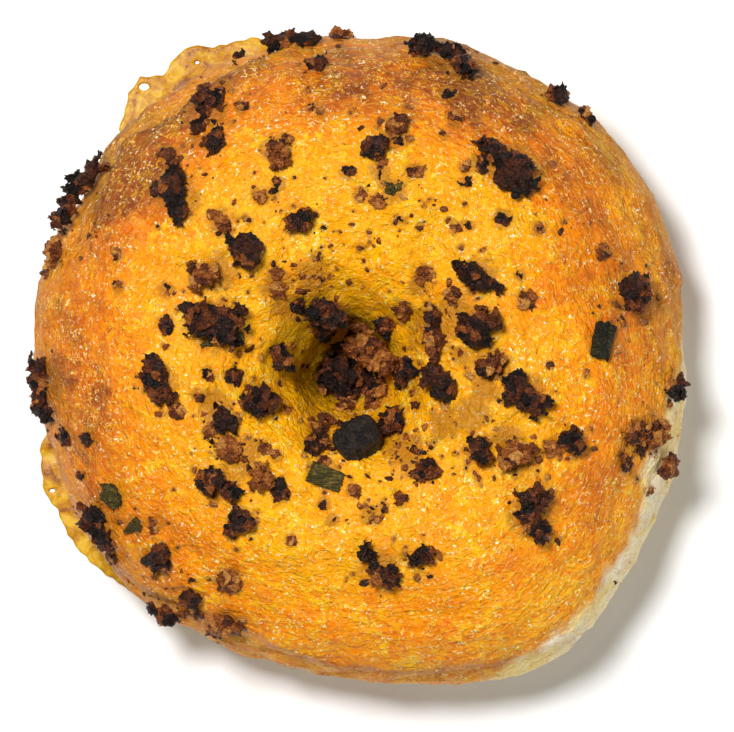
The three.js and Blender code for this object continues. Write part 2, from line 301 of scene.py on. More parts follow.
def cheese_crust_material():
    """Melted cheese: toasted in zones, thick in places, with fine strands, brown stains and bare dough;
    painted highlights on its strands and crinkles, painted shade in its cracks, pits and funnel.
    """
    recipe = Recipe("baked_cheese_crust")
    place = recipe.place()
    toast = recipe.attribute("toast")
    rind = recipe.attribute("rind")
    dough = recipe.attribute("dough")
    stain = recipe.attribute("stain")
    hollow_shade = recipe.attribute("hollow_shade")
    lip = recipe.attribute("lip")

    strokes = ring_strokes(recipe, 1.15, 0.36, detail=1.5, distortion=0.7)
    wrinkles = ring_strokes(recipe, 3.6, 1.2, detail=2.0, distortion=1.0)
    tangle = recipe.noise(place, 0.62, 2.5, 0.6, 1.0)
    mottle = recipe.noise(place, 0.15, 3.0, 0.6, 0.8)
    patches = recipe.noise(place, 0.26, 3.0, 0.6, 1.2)
    density = recipe.noise(place, 0.20, 2.0, 0.55, 0.8)
    speck = recipe.noise(place, 2.0, 2.0, 0.5, 0.8)
    breaks = recipe.noise(place, 1.3, 1.0, 0.5, 0.3)
    curls = recipe.noise(place, 0.95, 2.0, 0.55, 0.9)
    crinkles = line_of(curls, 7.0)
    inside = 1.0 - toast.between(0.30, 0.75)

    uneven = toast + (mottle - 0.5) * 0.85 + (wrinkles - 0.5) * 0.35 + (patches - 0.5) * 0.35
    colour = recipe.ramp(uneven, [(0.0, YELLOW), (1.0, SCORCH), (0.28, GOLD), (0.5, ORANGE), (0.76, TOAST)])
    thick = (patches + (tangle - 0.5) * 0.4).between(0.52, 0.64) * inside
    colour = recipe.mix(thick * 0.65, colour, THICK)
    creamy = (density + (patches - 0.5) * 0.6 + (tangle - 0.5) * 0.3).between(0.58, 0.72)
    creamy = creamy * (0.35 + inside * 0.65)
    colour = recipe.mix(creamy * 0.38, colour, CREAM)
    rind_colour = recipe.mix(wrinkles.between(0.40, 0.60), RIND, RIND_PALE)
    colour = recipe.mix(rind * 0.65, colour, rind_colour)
    colour = recipe.mix(lip * (0.45 + mottle * 0.8), colour, LIP)
    flour = recipe.mix(mottle.between(0.40, 0.62), DOUGH, FLOUR)
    colour = recipe.mix(dough, colour, flour)
    # Painted shade: darker orange in the low parts of the strokes and tangle, the cracks between the
    # strands.
    deep = (1.0 - strokes * 0.5 - tangle * 0.5).between(0.50, 0.64) * 0.38
    colour = recipe.mix(deep, colour, recipe.mix(1.0, colour, ORANGE, blend="MULTIPLY"))
    # Painted highlights: pale wisps along the crinkles, and white glints on them, where glossy cheese
    # catches the light.
    light = recipe.mix(toast.between(0.25, 0.7), WISP_HIGHLIGHT, WISP_HIGHLIGHT_TOASTED)
    # Paler strands round the ring: real strands of cheese, painted lighter as a highlight along them.
    fibres = (strokes * 0.65 + tangle * 0.35).between(0.515, 0.60) * (0.30 + toast.between(0.1, 0.6) * 0.5)
    fibres = fibres * (0.35 + density.between(0.40, 0.60) * 0.65)
    colour = recipe.mix(fibres * 0.50, colour, STRAND_AND_SHEEN)
    wisp_highlights = crinkles.between(0.45, 0.90) * breaks.between(0.48, 0.58)
    wisp_highlights = wisp_highlights * (0.30 + density.between(0.38, 0.60) * 0.70)
    colour = recipe.mix(wisp_highlights * 0.85, colour, light)
    glints = speck.between(0.54, 0.62) * wisp_highlights
    colour = recipe.mix(glints, colour, GLINT_HIGHLIGHT)
    # Painted shade: dark specks in the rind, the shade of small pits that the mesh doesn't have.
    pit_shade = (1.0 - speck).between(0.64, 0.70) * rind
    colour = recipe.mix(pit_shade * 0.8, colour, PIT_SHADE)
    # Painted shade in the funnel round the hole and in its throat.
    colour = recipe.mix(hollow_shade * 0.72, colour, FUNNEL_SHADE)
    blotch = (stain + (patches - 0.5) * 0.9 + (tangle - 0.5) * 0.7).between(0.42, 0.80)
    colour = recipe.mix(blotch * 0.70, colour, STAIN)

    fine = recipe.bump(strokes * 0.5 + speck * 0.3 + wisp_highlights * 0.4, 0.15 * MM, 1.0)
    middling = recipe.bump(tangle * 0.7 + curls * 0.4 + crinkles * 0.10, 0.34 * MM, 1.0, fine)
    normal = recipe.bump(wrinkles * 0.5 + patches * 0.9, 0.9 * MM, 1.0, middling)
    roughness = 0.32 + mottle * 0.12 + dough * 0.25 + rind * 0.25
    return recipe.surface(
        Base_Color=colour,
        Roughness=roughness,
        Normal=normal,
        Specular_IOR_Level=0.16,
        Subsurface_Weight=0.08,
        Subsurface_Radius=(1.0, 0.35, 0.04),
        Subsurface_Scale=0.0012,
    )


CRISP_TONES = [
    (0.28, (0.70, 0.42, 0.03)), (0.74, (0.26, 0.085, 0.010)), (0.42, (0.58, 0.29, 0.006)),
    (0.60, (0.46, 0.19, 0.005)),
]


def crisp_cheese_material():
    """Cheese fried thin and glassy, mottled from yellow to brown."""
    recipe = Recipe("crisp_cheese")
    place = recipe.place()
    mottle = recipe.noise(place, 0.30, 3.0, 0.6, 0.6)
    bubbles = recipe.noise(place, 0.7, 3.0, 0.55, 1.2)
    colour = recipe.ramp((mottle - 0.5) * 1.5 + (bubbles - 0.5) * 0.5 + 0.48, CRISP_TONES)
    normal = recipe.bump(bubbles, 0.18 * MM, 0.8)
    return recipe.surface(
        Base_Color=colour,
        Roughness=0.36,
        Normal=normal,
        Specular_IOR_Level=0.15,
        Subsurface_Weight=0.15,
        Subsurface_Radius=(1.0, 0.5, 0.05),
        Subsurface_Scale=0.002,
    )


ONION_TONES = [
    (0.0, (0.006, 0.004, 0.003)), (1.0, (0.72, 0.33, 0.07)), (0.26, (0.026, 0.011, 0.007)),
    (0.50, (0.13, 0.028, 0.008)), (0.76, (0.42, 0.115, 0.016)),
]


def onion_material(name, roughness):
    """Dried, crumpled onion. Each flake has a tone of its own, from black to light brown."""
    recipe = Recipe(name)
    place = recipe.place()
    tone = recipe.attribute("tone")
    patches = recipe.noise(place, 0.7, 3.0, 0.65, 0.8)
    grain = recipe.noise(place, 3.2, 3.0, 0.65, 1.0)
    fibres = recipe.noise(recipe.place((1.6, 0.35, 0.5), (0.2, 0.1, 0.9)), 1.0, 3.0, 0.6, 1.2)
    shade = tone + (patches - 0.5) * 0.8 + (grain - 0.5) * 0.9 + (fibres - 0.5) * 0.4
    colour = recipe.ramp(shade, ONION_TONES)
    fine = recipe.bump(grain, 0.26 * MM, 1.0)
    normal = recipe.bump(fibres + patches * 0.6, 0.5 * MM, 1.0, fine)
    return recipe.surface(
        Base_Color=colour,
        Roughness=roughness,
        Normal=normal,
        Specular_IOR_Level=0.35,
    )


def chive_material(name, heading, stops, gloss=0.18):
    """Dried leaf whose veins run along its heading, in radians from +X."""
    recipe = Recipe(name)
    veins = recipe.noise(recipe.place((3.0, 0.22, 0.22), (0.0, 0.0, -heading)), 1.0, 3.0, 0.6, 0.2)
    patches = recipe.noise(recipe.place(), 0.6, 3.0, 0.6, 0.5)
    grain = recipe.noise(recipe.place(), 2.6, 3.0, 0.6, 0.5)
    colour = recipe.ramp((veins - 0.5) * 1.5 + (patches - 0.5) * 0.8 + (grain - 0.5) * 0.5 + 0.5, stops)
    normal = recipe.bump(veins + grain * 0.3, 0.5 * MM, 1.0)
    return recipe.surface(Base_Color=colour, Roughness=0.42, Normal=normal, Specular_IOR_Level=gloss)


# ---------------------------------------------------------------- bread with its cheese crust

RING_STEPS = 512
SECTION_STEPS = 188
SECTION_MIDDLE = 0.46  # height of the middle of the ring's section, as a share of the bread's height
STARTING_TUBE = 2 * MM

# Round the crust, every 30 degrees anticlockwise from +X: where the toast starts, as a share of the
# ring's radius, how deep it gets, and how pale and wrinkled the rind outside it is.
TOAST_START = [0.60, 0.60, 0.58, 0.56, 0.60, 0.62, 0.60, 0.58, 0.56, 0.58, 0.60, 0.62]
TOAST_DEPTH = [0.54, 0.60, 0.80, 0.76, 0.64, 0.66, 0.70, 0.60, 0.46, 0.36, 0.36, 0.42]
RIND_DEPTH = [0.70, 0.85, 0.55, 0.50, 0.85, 0.75, 0.35, 0.30, 0.35, 0.35, 0.50, 0.60]
TOAST_FADE = 0.26  # of the ring's radius, over which the toast reaches its depth
LEAST_TOAST = 0.04
CHEESE_LINE = 8.0  # millimetres above the table where the cheese ends and the dough shows
BARE_BEARING = math.radians(-34)  # the side where the cheese stopped high up
BARE_RISE = 18.5  # and how many millimetres higher
# The painted shade in the funnel is darkest round this point.
HOLLOW_MIDDLE = (-5.0, 1.0)  # of the darkest part of the funnel, in millimetres from the axis
LIP_REACH = 1.5  # millimetres to either side of a fold's edge

# Patches of the crust that baked darker, in millimetres from the ring's axis: x, y, reach, depth.
TOAST_PATCHES = [
    (-40.5, 33, 4.5, 0.45), (-36.5, 36.5, 4, 0.30), (-43, 27, 4, 0.30), (0, 47, 9, 0.22), (20, 48, 9, 0.30),
    (33, 38, 9, 0.20), (-38, 28, 8, 0.45), (-27, 37, 6, 0.20), (34, 16, 7, 0.25), (44, 6, 7, 0.22),
    (-31, 16, 7, 0.15), (-44, -8, 8, 0.15), (20, -27, 9, 0.20), (39, -8, 7, 0.26), (-30, -28, 8, 0.15),
    (30, 8, 6, 0.24), (37, 12, 7, 0.24), (39, -19, 7, 0.28), (-40, 4, 8, 0.15), (-34, -16, 7, 0.15),
    (-12, 40, 7, 0.15), (10, 35, 6, 0.10), (8, -44, 12, 0.10), (40, -28, 7, 0.10),
]

# Folds of the crust, in millimetres from the ring's axis. The crust is higher on the left of the way.
FOLDS = [
    # (points of the way, height of the step, width of the step)
    ([(-44, 24), (-42.5, 29), (-41.3, 32), (-39.8, 35.5), (-37.4, 37.5), (-34.5, 38.6), (-31.3, 40.4),
      (-27.6, 42.4), (-24, 46), (-17, 50)], -2.3, 0.45),
    ([(-46.5, 30), (-43.3, 36), (-39, 40.5), (-35.5, 43.4), (-31.5, 46.4), (-25, 50.5)], -0.9, 0.6),
    ([(57, 8), (54, 14), (50, 22), (46, 28), (40, 35)], -0.8, 0.7),
    ([(52, -2), (50, 8), (46, 17), (39, 26)], -0.6, 0.8),
    ([(54, 5), (52, 14), (48, 22), (43, 29)], -0.4, 0.5),
    ([(-54, -20), (-50, -28), (-44, -35), (-36, -41), (-26, -46), (-14, -50)], 0.8, 0.8),
    ([(-10, -52.5), (2, -54.5), (14, -55), (26, -54), (34, -50.5)], 0.9, 0.8),
    ([(22, -20), (30, -22), (37, -27), (43, -30)], -0.5, 0.8),
]


def ring_values(values, bearing):
    """Smooth values at bearings, from values spaced evenly round the ring."""
    places = np.mod(bearing / (2 * np.pi), 1.0) * len(values)
    first = np.floor(places).astype(int)
    share = places - first
    share = share * share * (3 - 2 * share)
    table = np.array(values)
    return table[first % len(values)] * (1 - share) + table[(first + 1) % len(values)] * share


def smooth_step(value, low, high):
    share = np.clip((value - low) / (high - low), 0, 1)
    return share * share * (3 - 2 * share)


def beside_way(places, way):
    """The distance from each place to a way of points, and which side of it: positive on its left."""
    nearest = np.full(len(places), np.inf)
    side = np.zeros(len(places))
    for start, end in zip(way, way[1:]):
        start, end = np.array(start), np.array(end)
        step = end - start
        share = np.clip(((places - start) @ step) / (step @ step), 0, 1)
        offset = places - (start + share[:, None] * step)
        distance = np.hypot(offset[:, 0], offset[:, 1])
        turn = step[0] * offset[:, 1] - step[1] * offset[:, 0]
        closer = distance < nearest
        nearest = np.where(closer, distance, nearest)
        side = np.where(closer, np.sign(turn), side)
    return nearest, side


def noise_at(places, size, octaves=1, shift=0.0):
    """Smooth noise between about -1 and 1 at places in millimetres."""
    offset = Vector((shift, 2 * shift, -shift))
    if octaves == 1:
        return np.array([noise.noise(Vector(p) / size + offset) for p in places])
    return np.array([noise.fractal(Vector(p) / size + offset, 0.8, 2.0, octaves) for p in places])


def ridges_at(places, size, shift=0.0):
    """Sharp little ridges between about 0 and 1."""
    return 1.0 - 2.0 * np.abs(noise_at(places, size, 2, shift))


def vertex_places(piece):
    flat = np.empty(3 * len(piece.data.vertices))
    piece.data.vertices.foreach_get("co", flat)
    return flat.reshape(-1, 3)


def vertex_normals(piece):
    flat = np.empty(3 * len(piece.data.vertices))
    piece.data.vertex_normals.foreach_get("vector", flat)
    return flat.reshape(-1, 3)


def set_attribute(piece, name, values):
    attribute = piece.data.attributes.new(name, "FLOAT", "POINT")
    attribute.data.foreach_set("value", np.clip(values, 0, 1).astype(np.float32))


def ring_on_bread():
    """A fine ring whose section is pushed out, from the middle of the bread's section, onto the bread."""
    form = merged_copy(BREAD, "bread_form")
    select_only(form)
    bpy.ops.object.mode_set(mode="EDIT")
    bpy.ops.mesh.select_all(action="SELECT")
    bpy.ops.mesh.tris_convert_to_quads(face_threshold=math.radians(60), shape_threshold=math.radians(60))
    bpy.ops.object.mode_set(mode="OBJECT")
    apply_modifier(form, "SUBSURF", levels=2, render_levels=2)
    deselect()
    bpy.ops.mesh.primitive_torus_add(
        major_segments=RING_STEPS,
        minor_segments=SECTION_STEPS,
        major_radius=CROWN_RADIUS,
        minor_radius=STARTING_TUBE,
        location=(RING_CENTRE.x, RING_CENTRE.y, SECTION_MIDDLE * BREAD_HIGH.z),
    )
    ring = bpy.context.object
    ring.name = "bread_and_cheese"
    settle(ring)
    apply_modifier(ring, "SHRINKWRAP", target=form, wrap_method="PROJECT", use_positive_direction=True,
                   use_negative_direction=False)
    apply_modifier(ring, "SMOOTH", factor=0.5, iterations=6)
    bpy.data.objects.remove(form)
    return ring


class Lie:
    """How the ring's vertices lie before the crust is wrinkled. Lengths are millimetres from the axis."""

    def __init__(self, ring):
        self.metres = vertex_places(ring)
        self.normals = vertex_normals(ring)
        self.places = (self.metres - np.array(RING_CENTRE)) / MM
        self.plan = self.places[:, :2]
        self.height = self.places[:, 2]
        self.radius = np.hypot(self.plan[:, 0], self.plan[:, 1])
        self.bearing = np.arctan2(self.plan[:, 1], self.plan[:, 0])
        self.reach = self.radius / (RING_RADIUS / MM)
        self.lumps = noise_at(self.places, 12.0, 2)
        self.dimples = noise_at(self.places, 4.2, 2, 3.1)


def crust_relief(lie):
    """How far each vertex is lifted, in millimetres, and how much it belongs to the lip of a fold."""
    on_top = smooth_step(lie.height, 3.0, 14.0)
    centre = 1 - smooth_step(lie.reach, 0.45, 0.72)
    flank = smooth_step(lie.reach, 0.78, 0.97) * on_top
    wrinkles = ridges_at(lie.places * np.array([1.0, 1.0, 1.6]), 3.6, 7.7)
    small = ridges_at(lie.places, 2.0, 11.3)
    # Wrinkles round the outside run with the ring.
    ringwise = np.stack([lie.bearing * 14.0, lie.radius * 0.55, lie.height * 0.55], axis=1)
    folds_round = ridges_at(ringwise, 1.6, 5.0)

    lift = on_top * (0.80 * lie.lumps + 0.42 * lie.dimples)
    lift += on_top * centre * (0.26 * wrinkles + 0.14 * small)
    lift += on_top * (1 - centre) * (0.10 * wrinkles + 0.12 * folds_round)
    lift += flank * (0.26 * folds_round + 0.14 * small)
    wander = 0.5 * noise_at(lie.places, 5.0, 1, 20.0)
    ledge = np.zeros(len(lie.places))
    for way, step, width in FOLDS:
        distance, side = beside_way(lie.plan, way)
        signed = distance * side + wander
        ends = 1 - smooth_step(distance, 5.0, 10.0)
        up = smooth_step(-signed if step < 0 else signed, -width, width)
        lip = np.exp(-((signed / LIP_REACH) ** 2))
        lift += on_top * ends * abs(step) * ((up - 0.5) + 0.35 * lip)
        ledge = np.maximum(ledge, lip * ends * min(abs(step) / 1.8, 1))
    return lift, ledge


def mark_toast(ring, lie, ledge):
    """Marks how deeply the cheese is toasted, and the scorched lips of the folds."""
    start = ring_values(TOAST_START, lie.bearing)
    depth = ring_values(TOAST_DEPTH, lie.bearing)
    uneven = 0.80 + 0.20 * smooth_step(lie.lumps, -0.5, 0.5)
    toast = depth * smooth_step(lie.reach, start, start + TOAST_FADE) * uneven
    for x, y, size, deeper in TOAST_PATCHES:
        toast += deeper * np.exp(-((np.hypot(lie.plan[:, 0] - x, lie.plan[:, 1] - y) / size) ** 2))
    toast += 0.12 * lie.dimples + 0.10 * noise_at(lie.places, 7.0, 2, 33.0) + 0.25 * ledge
    set_attribute(ring, "toast", toast + LEAST_TOAST)
    set_attribute(ring, "lip", ledge * smooth_step(noise_at(lie.places, 4.0, 2, 41.0), -0.55, 0.15))


def mark_edge(ring, lie):
    """Marks the pale rind round the outside, and the bare dough that the cheese didn't reach."""
    rind = ring_values(RIND_DEPTH, lie.bearing) * smooth_step(lie.reach, 0.86, 0.98)
    set_attribute(ring, "rind", rind * (0.8 + 0.6 * noise_at(lie.places, 6.0, 2, 9.0)))
    bare = smooth_step(np.cos(lie.bearing - BARE_BEARING), 0.72, 0.92)
    line = CHEESE_LINE + BARE_RISE * bare + 3.0 * noise_at(lie.places, 5.0, 2, 15.0)
    side = (1 - smooth_step(lie.height, line - 1.2, line + 1.2)) * smooth_step(lie.reach, 0.6, 0.8)
    underside = 1 - smooth_step(lie.height, 1.5, 3.0)
    set_attribute(ring, "dough", side + underside)


def mark_funnel_shade(ring, lie):
    """Marks painted shade in the funnel round the hole, strongest on its steep walls, and in the throat."""
    away = np.hypot(lie.plan[:, 0] - HOLLOW_MIDDLE[0], lie.plan[:, 1] - HOLLOW_MIDDLE[1])
    steep = 1 - smooth_step(lie.normals[:, 2], 0.45, 0.95)
    funnel = (1 - smooth_step(away, 7.0, 15.0)) * (0.35 + 0.65 * steep)
    throat = 1 - smooth_step(lie.radius, 5.0, 8.0)
    set_attribute(ring, "hollow_shade", funnel + throat)


def bread_piece():
    """The bread and its crust as one piece, wrinkled and marked for its material."""
    ring = ring_on_bread()
    lie = Lie(ring)
    lift, ledge = crust_relief(lie)
    moved = lie.metres + lie.normals * (lift * MM)[:, None]
    moved[:, 2] = np.maximum(moved[:, 2], 0)
    ring.data.vertices.foreach_set("co", moved.ravel())
    ring.data.update()
    mark_toast(ring, lie, ledge)
    mark_edge(ring, lie)
    mark_funnel_shade(ring, lie)
    return ring


def stain_crust(ring, spots):
    """Browns the crust round the onion: spots are places in metres with a reach in millimetres."""
    places = vertex_places(ring)[:, :2] / MM
    facing_up = vertex_normals(ring)[:, 2]
    stain = np.zeros(len(places))
    for x, y, size in spots:
        distance = np.hypot(places[:, 0] - x / MM, places[:, 1] - y / MM)
        stain = np.maximum(stain, np.exp(-((distance / size) ** 2)))
    set_attribute(ring, "stain", stain * smooth_step(facing_up, 0.25, 0.6))


# ---------------------------------------------------------------- onion and chive

FLAKE_KINDS = 5
VOXEL = 0.2 * MM
# The tones of each kind's flakes, from black at 0 to pale at 1: the middle one, and their spread.
TONES = {"charred_onion": (0.27, 0.17), "browned_onion": (0.66, 0.17), "chive": (0.4, 0.1)}
LESS_CHARRED = 0.22  # share of a charred clump's flakes that stayed browner
LESS_CHARRED_TONE = 0.26  # and by how much

# Scraps of onion and leaf too small for a solid of their own, in millimetres from the ring's axis:
# x, y, length, width, heading in degrees.
SCRAPS = {
    "charred_onion": [
        (-20, 42.7, 2.3, 1.8, 30), (-32.6, 34.6, 3, 2.5, 20), (-34.9, 28.7, 2.5, 1.8, 80),
        (-54, 14.2, 2.2, 1.7, 100), (-32.8, 11, 3, 1, 95), (-20.8, 52.1, 3.5, 1.5, 20),
        (-21.3, 50.4, 1.3, 1.2, 0), (-13.4, 29.3, 2, 1.5, 100), (-1.4, 31.2, 2.5, 2.2, 0),
        (-8.9, 21.6, 1.5, 1.5, 0), (-33.2, 5, 3, 2.8, 0), (-10.6, 8.4, 3, 2.5, 100),
        (15.7, 45, 3, 1.7, 10), (15.2, 37.9, 1.6, 1.2, 120), (21.5, 32.7, 3, 2.5, 60),
        (18.9, 29.5, 2, 2, 0), (7.4, 36.4, 1.5, 1.4, 0), (4, 31.4, 4, 1, 85), (7.6, 23.3, 1.5, 0.8, 160),
        (19.3, 22.1, 2, 1.1, 90), (25.3, 23.3, 3.3, 1.8, 150), (20, 10.8, 2, 1.2, 95),
        (-9.1, -1.8, 1.5, 1.5, 0), (10.4, -8.9, 2, 1.5, 30), (8.7, -3.5, 6, 5, 100),
        (-50.5, -14.3, 3.3, 3, 0), (-47, -14.8, 2.7, 2.4, 40), (-25.7, -3.5, 2.5, 2.2, 0),
        (-21.3, -4, 3.5, 3, 90), (-13.1, -23.9, 4, 2.4, 100), (-5.7, -26.2, 1.8, 1.6, 0),
        (-4, -28.8, 2, 0.8, 30), (-35.8, -35.5, 3, 2, 90), (49.2, -16.3, 3, 2, 90), (45, -39.7, 1, 1, 0),
        (4.8, -26.6, 2.2, 1.2, 90), (-6, 4, 5, 3.5, 30), (3, -5, 5, 4, 0), (5, 5, 4, 3, 120),
    ],
    "browned_onion": [
        (-41.5, 17.4, 2, 1.8, 0), (-41.3, 11.8, 2, 1.5, 20), (-2.7, 55.6, 5.5, 2.2, 0),
        (-16.6, 51.2, 2.5, 0.9, 30), (-23.2, 47.2, 2, 1, 40), (-7.8, 42.7, 1.5, 1.3, 0),
        (-6.3, 41.7, 1.5, 1.3, 90), (-12.3, 36.8, 2.5, 1.8, 40), (-16.4, 27.2, 3, 2, 130),
        (0.7, 27.4, 2.8, 1.5, 80), (-23.4, 22.9, 5, 2.5, 150), (-13.6, 12.2, 6, 2.5, 100),
        (-7.8, 13.1, 7, 1.2, 170), (-6.8, 16.3, 1.8, 1.2, 90), (17.2, 40.8, 2.7, 2.2, 0),
        (18.9, 32.3, 2.5, 2, 0), (10.2, 31.4, 3.5, 2, 30), (3.8, 26.3, 2.8, 2.2, 100),
        (17.2, 21.6, 2, 1.8, 0), (31.5, 21.6, 2.4, 1.5, 40), (42.8, 17.6, 3.2, 2, 100),
        (16.6, 10.1, 3, 2.6, 0), (11.6, 13.8, 3.7, 2.6, 20), (29.4, 9.3, 3.3, 2.8, 20),
        (8, 7.6, 3.2, 2.8, 60), (3.8, -7.6, 5.6, 4, 30), (-31.3, -9.9, 3, 2.6, 0),
        (-27.4, -7.4, 2.4, 1.8, 90), (-25.1, -13.4, 3, 2.5, 90), (-22.2, -16.6, 5.2, 4, 90),
        (-16.1, -16.3, 2.8, 2, 90), (-13.8, -17.6, 2, 1.5, 0), (-6.4, -12.2, 4.4, 3, 30),
        (-5.7, -18.9, 2.5, 1.8, 0), (-0.6, -24, 2.5, 2.2, 90), (-11.2, -32.3, 1.8, 1.6, 0),
        (-35.2, -29.6, 3.3, 1.6, 90), (-42.4, -35.5, 2.5, 2.2, 0), (-21.9, -39.4, 5.5, 4.3, 70),
        (-32.3, -44.9, 3.5, 3, 40), (-29.6, -45.3, 2, 2, 0), (-27.4, -45.3, 2, 2, 40),
        (-24.7, -48.1, 2.8, 2.4, 0), (-47.9, -21.2, 2, 1.5, 20), (18, -0.1, 3, 1, 90),
        (33.8, -16.3, 3.5, 2.5, 90), (54.5, -8.7, 1.8, 1, 90), (48.6, -13.6, 5, 4.5, 90),
        (46.2, -17.8, 2.3, 2, 0), (46.6, -19.5, 2.6, 2.2, 50), (50.9, -24, 2, 1.5, 90),
        (7.8, -25.1, 2.5, 2, 30), (-2, -9, 4, 3, 60), (-5.5, -6.5, 3, 2.5, 20),
    ],
    "chive": [
        (-26, 1.5, 2.5, 1.5, 30), (-20, 2.5, 2.5, 1.5, 100), (6.7, 28.5, 4.3, 1.8, 10),
        (-42.6, -24.6, 4.4, 3.2, 120), (-38.5, -29.9, 3.3, 2, 20),
    ],
}

# Where fine crumbs lie thick: x, y, reach in millimetres from the ring's axis, and how many.
CRUMB_PATCHES = [
    (8.7, -17.2, 4.2, 60), (2.3, -27.9, 3.2, 25), (4, 20, 7, 26), (-6, 14, 6, 30), (-22, -16, 5, 30),
    (14, 8, 6, 34), (18, -14, 6, 20), (-16, 26, 7, 14), (-2, -8, 6, 30), (24, -18, 7, 18),
    (48, -16, 4, 16), (-32, -40, 6, 14), (12, 26, 6, 20), (-46, 22, 4, 12), (34, 22, 5, 6),
    (-30, 32, 5, 10), (-20, 48, 5, 12), (0, 40, 10, 10),
]

# Where onion juice browned the cheese: x, y, reach in millimetres from the ring's axis.
STAINS = [
    (20, -10, 4.5), (22, -6, 4), (15, -12, 4), (26, -14, 4), (8.7, -17.2, 4.5), (4, -13, 4),
    (-20, -18, 5), (-14, 12, 4), (-24, 14, 4.5), (-12, 8, 4), (17, 8, 4), (11, 12, 3), (2.3, -27.9, 2.5),
    (-25, -9, 4), (-45, -30, 3), (49, -14, 4), (-30, 26, 4), (6, 37, 3), (30, -28, 3), (24, -2, 4),
    (28, -18, 4),
]

THROAT_FILL = 16  # clumps that fell into the hole
THROAT_MIDDLE = Vector((-1.4, -2.2, 0)) * MM  # from the ring's axis
THROAT_REACH = 5.4 * MM
THROAT_LEVEL = 0.36  # of the crown's height: where the fallen onion has lodged


def flake_stock():
    """Thin curled flakes, a millimetre across, to be copied into the clumps."""
    flakes = []
    for kind in range(FLAKE_KINDS):
        dice = random.Random(500 + kind)
        deselect()
        bpy.ops.mesh.primitive_ico_sphere_add(subdivisions=3, radius=0.5 * MM)
        flake = bpy.context.object
        flake.name = f"flake_stock_{kind}"
        shift = Vector((10.0 * kind, 3.0, 7.0))
        curl = dice.uniform(0.3, 1.1)
        for vertex in flake.data.vertices:
            p = vertex.co / MM
            edge = 1 + 0.55 * noise.noise(Vector((p.x, p.y, 0)) * 4.5 + shift)
            p.x *= edge
            p.y *= 0.78 * edge
            p.z *= 0.26
            p.z += curl * (p.x * p.x - 0.1) + 0.34 * noise.noise(Vector((p.x, p.y, 0)) * 4.0 - shift)
            vertex.co = p * MM
        flakes.append(flake)
    return flakes


def stamped(stock, name, matrix):
    twin = copy_of(stock, name)
    twin.data.transform(matrix)
    return twin


class Heap:
    """Flakes, each with its own tone, that become one crumpled piece."""

    def __init__(self, stock, textures, dice):
        self.stock = stock
        self.textures = textures
        self.dice = dice
        self.pieces = []
        self.middles = []
        self.sizes = []
        self.tones = []

    def add_flake(self, at, facing, size, kind, tilt=0.85):
        turn = facing.to_track_quat("Z", "Y").to_matrix().to_4x4()
        spin = Matrix.Rotation(self.dice.uniform(0, math.tau), 4, "Z")
        lean = Matrix.Rotation(self.dice.gauss(0, tilt), 4, "X")
        stock = self.dice.choice(self.stock)
        place = Matrix.Translation(at) @ turn @ spin @ lean @ Matrix.Scale(size, 4)
        self.pieces.append(stamped(stock, "flake", place))
        middle, spread = TONES[kind]
        self.middles.append(at / MM)
        self.sizes.append(size)
        tone = self.dice.gauss(middle, spread)
        if kind == "charred_onion" and self.dice.random() < LESS_CHARRED:
            tone += LESS_CHARRED_TONE
        self.tones.append(tone)

    def baked(self, name):
        piece = joined(self.pieces, name)
        apply_modifier(piece, "REMESH", mode="VOXEL", voxel_size=VOXEL)
        tones = self.nearest_tones(vertex_places(piece) / MM)
        for texture, strength in self.textures:
            apply_modifier(piece, "DISPLACE", texture=texture, strength=strength, mid_level=0.5,
                           texture_coords="LOCAL")
        set_attribute(piece, "tone", tones)
        return piece

    def nearest_tones(self, places):
        middles = np.array(self.middles)
        sizes = np.array(self.sizes)
        tones = np.array(self.tones)
        nearest = []
        for share in np.array_split(places, max(len(places) // 4000, 1)):
            away = np.linalg.norm(share[:, None, :] - middles[None, :, :], axis=2) / sizes
            nearest.append(tones[np.argmin(away, axis=1)])
        return np.concatenate(nearest)


CORE_SHARE = 0.72  # a clump's core beside its CAD solid
MOST_FLAKES = 46
PETAL_TONE = 0.33
PETAL_SINK = 0.9 * MM  # below the top of the clump's CAD solid

# Wide flakes that lie on top of a clump: x, y in millimetres from the ring's axis, and size.
PETALS = {
    "charred_onion_25": [(27.4, 31.0, 7.6)],
    "charred_onion_08": [(-18.9, 18.4, 6.2)],
    "charred_onion_27": [(47.6, 11.6, 5.0)],
}


def clump(node, stock, textures, dice, kind):
    """A crumpled clump of onion flakes on and round its CAD solid."""
    heap = Heap(stock, textures, dice)
    core = merged_copy(node, "core")
    low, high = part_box(node)
    middle = (Vector(low) + Vector(high)) / 2
    faces = [face for face in core.data.polygons if face.normal.z > -0.2]
    areas = [face.area for face in faces]
    flake_count = min(int(7 + sum(areas) / MM ** 2 * 0.34), MOST_FLAKES)
    for face in dice.choices(faces, areas, k=flake_count):
        at = face.center.lerp(middle, dice.uniform(-0.06, 0.22))
        heap.add_flake(at, face.normal, dice.uniform(1.3, 3.3), kind)
    shrink = Matrix.Scale(CORE_SHARE, 4)
    core.data.transform(Matrix.Translation(middle) @ shrink @ Matrix.Translation(-middle))
    heap.pieces.insert(0, core)
    for x, y, size in PETALS.get(node, []):
        at = RING_CENTRE + Vector((x, y, 0)) * MM
        at.z = high[2] - PETAL_SINK
        heap.add_flake(at, UPWARD, size, kind, 0.12)
        heap.tones[-1] = PETAL_TONE
    return heap.baked(node + "_baked")


LEAF_SHARE = 0.9  # a leaf's size beside its CAD solid
LEAF_LIFT = 0.75 * MM  # of a leaf's middle over the crust
LEAF_THICKNESS = 0.55 * MM
LEAF_CUTS = 23
FOOT_REACH = 0.3  # of a leaf's length or width, from its middle to where it meets the crust


